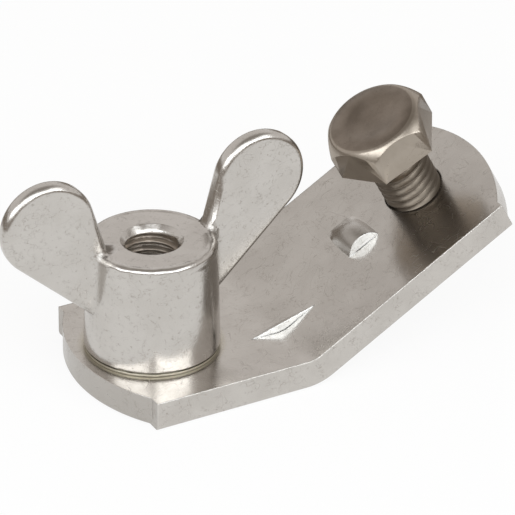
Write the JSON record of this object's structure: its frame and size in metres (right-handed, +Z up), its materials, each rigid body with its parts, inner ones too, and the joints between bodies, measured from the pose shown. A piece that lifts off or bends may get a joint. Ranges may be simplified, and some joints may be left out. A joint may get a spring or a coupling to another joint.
{
  "type": "earthing connector",
  "caption": "Bent flat-bar earthing connector: a captive wing nut at the flat end runs onto an earthing stud, and a hexagon bolt in the raised end clamps a cable lug.",
  "frame": {"origin": "wing nut's thread axis in the plane of the plate's flat underside", "axes": "+X along the bar from the wing nut towards the bolt, +Z up out of the wing nut's boss"},
  "size_m": [0.0885, 0.035, 0.0401],
  "materials": {
    "plated_bar": "bright plated, with handling scratches",
    "plated_brass": "hot-pressed brass, bright plated",
    "stainless_steel": "cold-formed stainless, satin"
  },
  "bodies": {
    "plate": {"connector_plate": "plated_bar"},
    "nut": {"wing_nut": "plated_brass"},
    "bolt": {"hex_bolt": "stainless_steel"}
  },
  "joints": [
    {"name": "nut_spin", "type": "hinge", "parent": "plate", "child": "nut", "pos_m": [0, 0, 0], "axis": [0, 0, 1], "continuous": true},
    {"name": "bolt_travel", "type": "slide", "parent": "plate", "child": "bolt", "axis": [-0.4955, 0, 0.8686], "range_m": [-0.0106, 0.006]}
  ]
}
